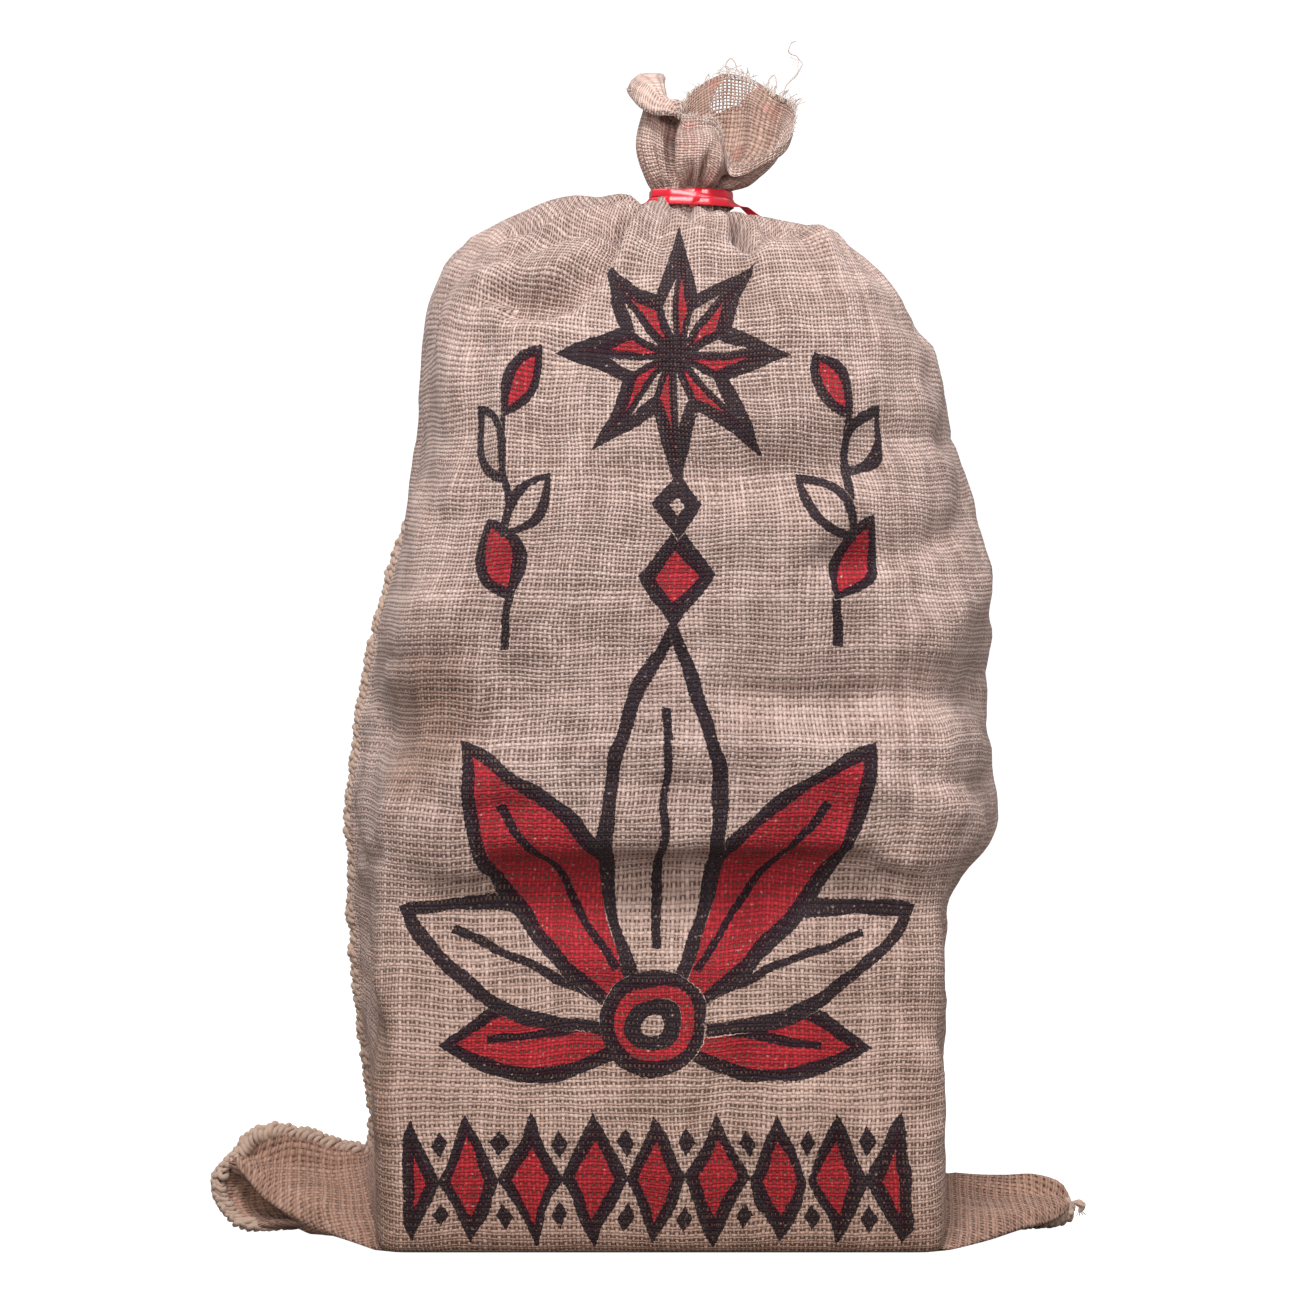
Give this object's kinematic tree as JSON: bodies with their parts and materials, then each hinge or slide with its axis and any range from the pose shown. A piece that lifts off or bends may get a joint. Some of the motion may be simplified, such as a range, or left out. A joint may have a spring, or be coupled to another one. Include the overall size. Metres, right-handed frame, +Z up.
{
  "type": "burlap sack",
  "caption": "Tall filled jute sack that stands on its box-shaped contents, with two bottom corners folded out as ears and an open ruff above a ribbon tie.",
  "frame": {"origin": "middle of the bounding box, on the floor", "axes": "+Z up from the floor to the mouth, the front faces -Y, the sewn edge is on the -X side"},
  "size_m": [0.5989, 0.2898, 0.8258],
  "materials": {
    "jute": "coarse plain weave, matt",
    "twine": "twisted jute twine, matt",
    "ribbon": "glossy curling ribbon"
  },
  "bodies": {
    "root": {"sack_cloth": "jute", "ribbon_tie": "ribbon", "twine_tail": "twine", "yarn_long": "jute", "yarn_loop_back": "jute", "yarn_loop_left": "jute", "yarn_loop_right": "jute"}
  },
  "joints": []
}
